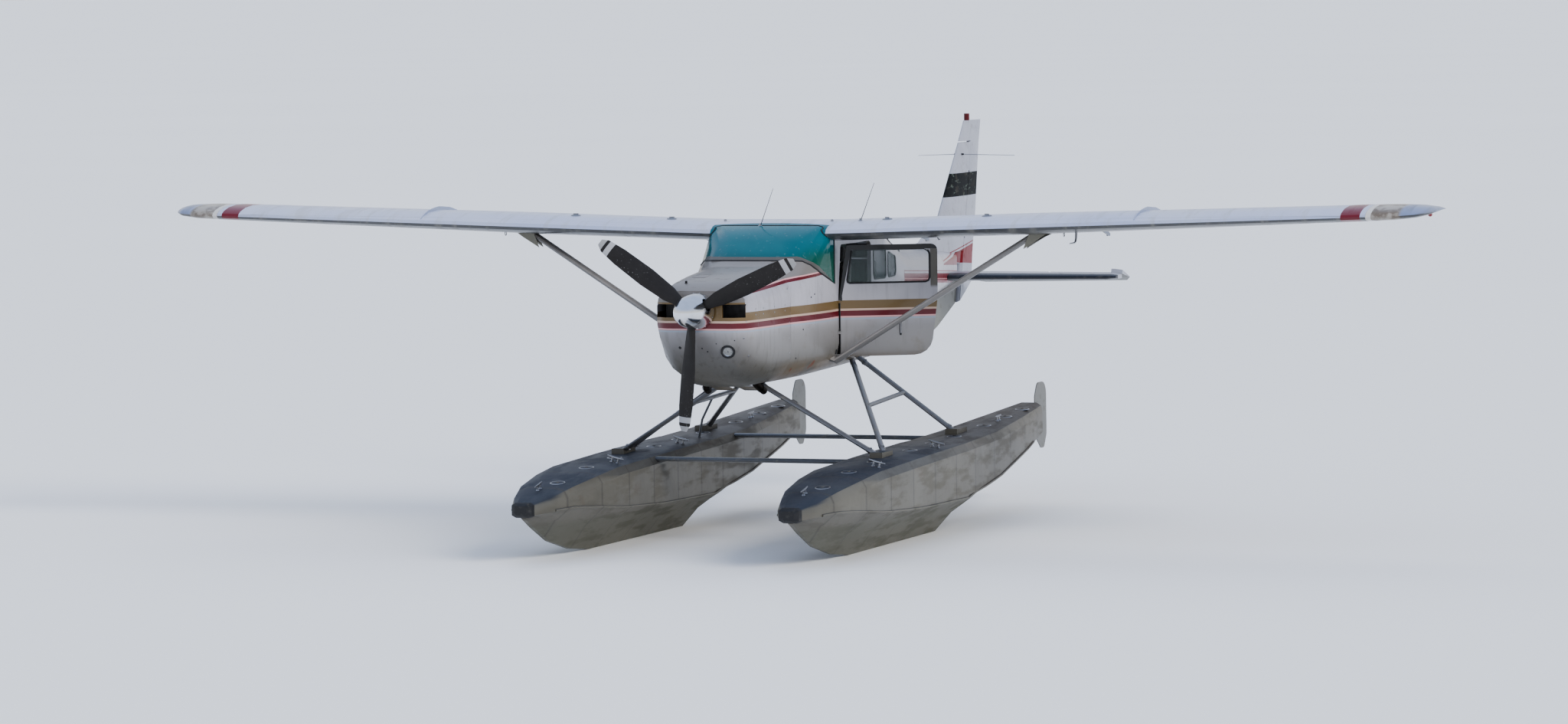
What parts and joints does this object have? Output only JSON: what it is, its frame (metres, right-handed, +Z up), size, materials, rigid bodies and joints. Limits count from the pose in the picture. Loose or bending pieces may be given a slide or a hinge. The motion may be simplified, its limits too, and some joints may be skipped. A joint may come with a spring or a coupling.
{
  "type": "single engine high wing floatplane",
  "caption": "High-wing strut-braced single-engine floatplane standing on two alloy floats, with opening doors, flaps, ailerons, tail surfaces, propeller and water rudders.",
  "frame": {"origin": "on the ground under the middle of the whole length and span, at the level of the float keels", "axes": "+X to port along the span, -Y towards the nose, +Z up"},
  "size_m": [12.56, 9.4, 3.83],
  "materials": {
    "white_paint": "gloss",
    "grey_alloy": "satin",
    "float_alloy": "satin",
    "black_rubber": "matte",
    "clear_glass": "gloss",
    "teal_glass": "gloss",
    "seat_cloth": "matte",
    "polished_metal": "polished",
    "blade_paint": "satin",
    "engine_metal": "matte",
    "black_plastic": "matte",
    "tip_composite": "satin"
  },
  "bodies": {
    "airframe": {"bow_bumper_port": "black_rubber", "bow_bumper_starboard": "black_rubber", "cabin_roof": "white_paint", "cowling_lower": "white_paint", "cowling_upper": "white_paint", "diagonal_strut_port": "grey_alloy", "diagonal_strut_starboard": "grey_alloy", "engine_block": "engine_metal", "fin": "white_paint", "float_port": "float_alloy", "float_starboard": "float_alloy", "front_seat_port": "seat_cloth", "front_seat_starboard": "seat_cloth", "front_spreader_bar": "grey_alloy", "front_strut_port": "grey_alloy", "front_strut_starboard": "grey_alloy", "fuselage_shell": "white_paint", "instrument_panel": "black_plastic", "lower_fin": "white_paint", "middle_seats": "seat_cloth", "port_aft_window": "clear_glass", "port_middle_window": "clear_glass", "rear_spreader_bar": "grey_alloy", "rear_strut_port": "grey_alloy", "rear_strut_starboard": "grey_alloy", "rear_window": "clear_glass", "stabilizer": "white_paint", "starboard_window": "clear_glass", "windshield": "teal_glass", "wing_port": "white_paint", "wing_starboard": "white_paint", "wing_strut_port": "grey_alloy", "wing_strut_starboard": "grey_alloy", "wing_tip_port": "tip_composite", "wing_tip_starboard": "tip_composite"},
    "propeller": {"propeller_blades": "blade_paint", "spinner": "polished_metal"},
    "pilot_door": {"pilot_door": "white_paint", "pilot_door_window": "clear_glass"},
    "cargo_door_front": {"cargo_door_front": "white_paint", "cargo_door_front_window": "clear_glass"},
    "cargo_door_rear": {"cargo_door_rear": "white_paint", "cargo_door_rear_window": "clear_glass"},
    "elevator": {"elevator": "white_paint"},
    "rudder": {"rudder": "white_paint"},
    "aileron_port": {"aileron_port": "white_paint"},
    "flap_port": {"flap_port": "white_paint"},
    "water_rudder_post_port": {"water_rudder_post_port": "grey_alloy"},
    "water_rudder_blade_port": {"water_rudder_blade_port": "grey_alloy"},
    "aileron_starboard": {"aileron_starboard": "white_paint"},
    "flap_starboard": {"flap_starboard": "white_paint"},
    "water_rudder_post_starboard": {"water_rudder_post_starboard": "grey_alloy"},
    "water_rudder_blade_starboard": {"water_rudder_blade_starboard": "grey_alloy"}
  },
  "joints": [
    {"name": "propeller_spin", "type": "hinge", "parent": "airframe", "child": "propeller", "pos_m": [0, -3.575, 2.23], "axis": [0, 1, 0], "continuous": true},
    {"name": "pilot_door_swing", "type": "hinge", "parent": "airframe", "child": "pilot_door", "pos_m": [0.60664, -1.388, 2.23], "axis": [0, 0, 1], "range_deg": [0, 60]},
    {"name": "cargo_door_front_swing", "type": "hinge", "parent": "airframe", "child": "cargo_door_front", "pos_m": [-0.60113, -0.498, 2.23], "axis": [0, 0, 1], "range_deg": [0, 85]},
    {"name": "cargo_door_rear_swing", "type": "hinge", "parent": "airframe", "child": "cargo_door_rear", "pos_m": [-0.52393, 0.508, 2.23], "axis": [0, 0, -1], "range_deg": [0, 95]},
    {"name": "aileron_port_turn", "type": "hinge", "parent": "airframe", "child": "aileron_port", "pos_m": [3.452, -0.48866, 2.95127], "axis": [0.9951, -0.0898, 0.0409], "range_deg": [-18, 18]},
    {"name": "aileron_starboard_turn", "type": "hinge", "parent": "airframe", "child": "aileron_starboard", "pos_m": [-3.452, -0.48866, 2.95127], "axis": [0.9951, 0.0898, -0.0409], "range_deg": [-18, 18]},
    {"name": "flap_port_lower", "type": "hinge", "parent": "airframe", "child": "flap_port", "pos_m": [0.622, -0.289, 2.72179], "axis": [-0.9995, 0, -0.0302], "range_deg": [0, 40]},
    {"name": "flap_starboard_lower", "type": "hinge", "parent": "airframe", "child": "flap_starboard", "pos_m": [-0.622, -0.289, 2.72179], "axis": [-0.9995, 0, 0.0302], "range_deg": [0, 40]},
    {"name": "elevator_turn", "type": "hinge", "parent": "airframe", "child": "elevator", "pos_m": [0, 3.755, 2.202], "axis": [1, 0, 0], "range_deg": [-6, 39]},
    {"name": "rudder_turn", "type": "hinge", "parent": "airframe", "child": "rudder", "pos_m": [0, 3.905, 2.125], "axis": [0, 0.2801, 0.96], "range_deg": [-24, 24]},
    {"name": "water_rudder_steer_port", "type": "hinge", "parent": "airframe", "child": "water_rudder_post_port", "pos_m": [1.28, 2.32, 0.73], "axis": [0, 0, 1], "range_deg": [-24, 24]},
    {"name": "water_rudder_lift_port", "type": "hinge", "parent": "water_rudder_post_port", "child": "water_rudder_blade_port", "pos_m": [1.28, 2.4, 0.73], "axis": [-1, 0, 0], "range_deg": [0, 75]},
    {"name": "water_rudder_steer_starboard", "type": "hinge", "parent": "airframe", "child": "water_rudder_post_starboard", "pos_m": [-1.28, 2.32, 0.73], "axis": [0, 0, 1], "range_deg": [-24, 24]},
    {"name": "water_rudder_lift_starboard", "type": "hinge", "parent": "water_rudder_post_starboard", "child": "water_rudder_blade_starboard", "pos_m": [-1.28, 2.4, 0.73], "axis": [-1, 0, 0], "range_deg": [0, 75]}
  ],
  "couplings": [
    {"joint": "aileron_starboard_turn", "follows": "aileron_port_turn", "ratio": -1},
    {"joint": "flap_starboard_lower", "follows": "flap_port_lower", "ratio": 1},
    {"joint": "water_rudder_steer_port", "follows": "rudder_turn", "ratio": 1},
    {"joint": "water_rudder_steer_starboard", "follows": "rudder_turn", "ratio": 1},
    {"joint": "water_rudder_lift_starboard", "follows": "water_rudder_lift_port", "ratio": 1}
  ]
}
